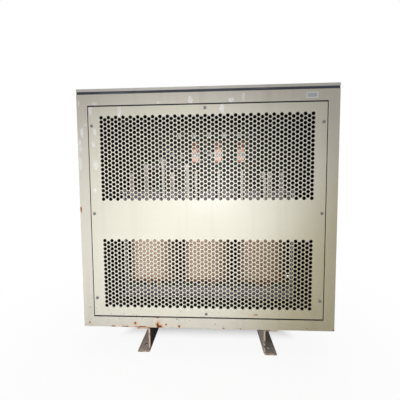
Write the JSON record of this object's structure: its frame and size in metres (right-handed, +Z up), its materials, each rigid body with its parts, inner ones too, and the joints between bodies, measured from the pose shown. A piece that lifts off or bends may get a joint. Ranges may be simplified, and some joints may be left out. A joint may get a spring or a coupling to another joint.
{
  "type": "power transformer",
  "caption": "Dry-type power transformer: wound core and coils in a ventilated sheet-steel enclosure with a perforated front panel, standing on channel skids.",
  "frame": {"origin": "on the floor under the middle of the enclosure, at the middle of the overall box's underside", "axes": "+X to the right of someone facing the front, +Y from the front towards the rear, +Z up"},
  "size_m": [0.96, 0.6, 1.01],
  "materials": {
    "enclosure_paint": "semi-gloss beige-grey powder coat with rust specks and dry residue",
    "gasket_rubber": "dark strip rubber",
    "pad_rubber": "black rubber",
    "skid_steel": "bare rusted mild steel",
    "base_sheet": "dark dull coat with settled dust",
    "core_steel": "laminated sheet, varnished edges",
    "clamp_paint": "bluish grey primer",
    "rod_steel": "zinc plated",
    "coil_wrap": "varnished tan insulating wrap",
    "winding_wrap": "varnished tan insulating wrap",
    "block_board": "varnished pressboard",
    "lead_metal": "flat strap in pale sleeving",
    "bus_copper": "bare copper, taped below",
    "board_grey": "grey insulating board",
    "post_brown": "brown laminate",
    "strap_black": "black laminate"
  },
  "bodies": {
    "root": {"left_front_post": "enclosure_paint", "right_front_post": "enclosure_paint", "left_rear_post": "enclosure_paint", "right_rear_post": "enclosure_paint", "front_bottom_rail": "enclosure_paint", "front_top_rail": "enclosure_paint", "rear_bottom_rail": "enclosure_paint", "rear_top_rail": "enclosure_paint", "left_bottom_rail": "enclosure_paint", "left_top_rail": "enclosure_paint", "right_bottom_rail": "enclosure_paint", "right_top_rail": "enclosure_paint", "front_panel": "enclosure_paint", "rear_panel": "enclosure_paint", "left_panel": "enclosure_paint", "right_panel": "enclosure_paint", "top_cover": "enclosure_paint", "cover_gasket": "gasket_rubber", "isolation_pads": "pad_rubber", "left_base_channel": "skid_steel", "right_base_channel": "skid_steel", "base_plate": "base_sheet", "bottom_yoke": "core_steel", "top_yoke": "core_steel", "left_limb": "core_steel", "centre_limb": "core_steel", "right_limb": "core_steel", "bottom_front_clamp": "clamp_paint", "bottom_rear_clamp": "clamp_paint", "top_front_clamp": "clamp_paint", "top_rear_clamp": "clamp_paint", "tie_rods": "rod_steel", "left_coil": "coil_wrap", "centre_coil": "coil_wrap", "right_coil": "coil_wrap", "left_inner_winding": "winding_wrap", "centre_inner_winding": "winding_wrap", "right_inner_winding": "winding_wrap", "lower_coil_blocks": "block_board", "upper_coil_blocks": "block_board", "coil_leads": "lead_metal", "link_bar": "lead_metal", "left_bus_bar": "bus_copper", "centre_bus_bar": "bus_copper", "right_bus_bar": "bus_copper", "support_board": "board_grey", "support_posts": "post_brown", "bus_strap": "strap_black", "tap_board": "strap_black"}
  },
  "joints": []
}
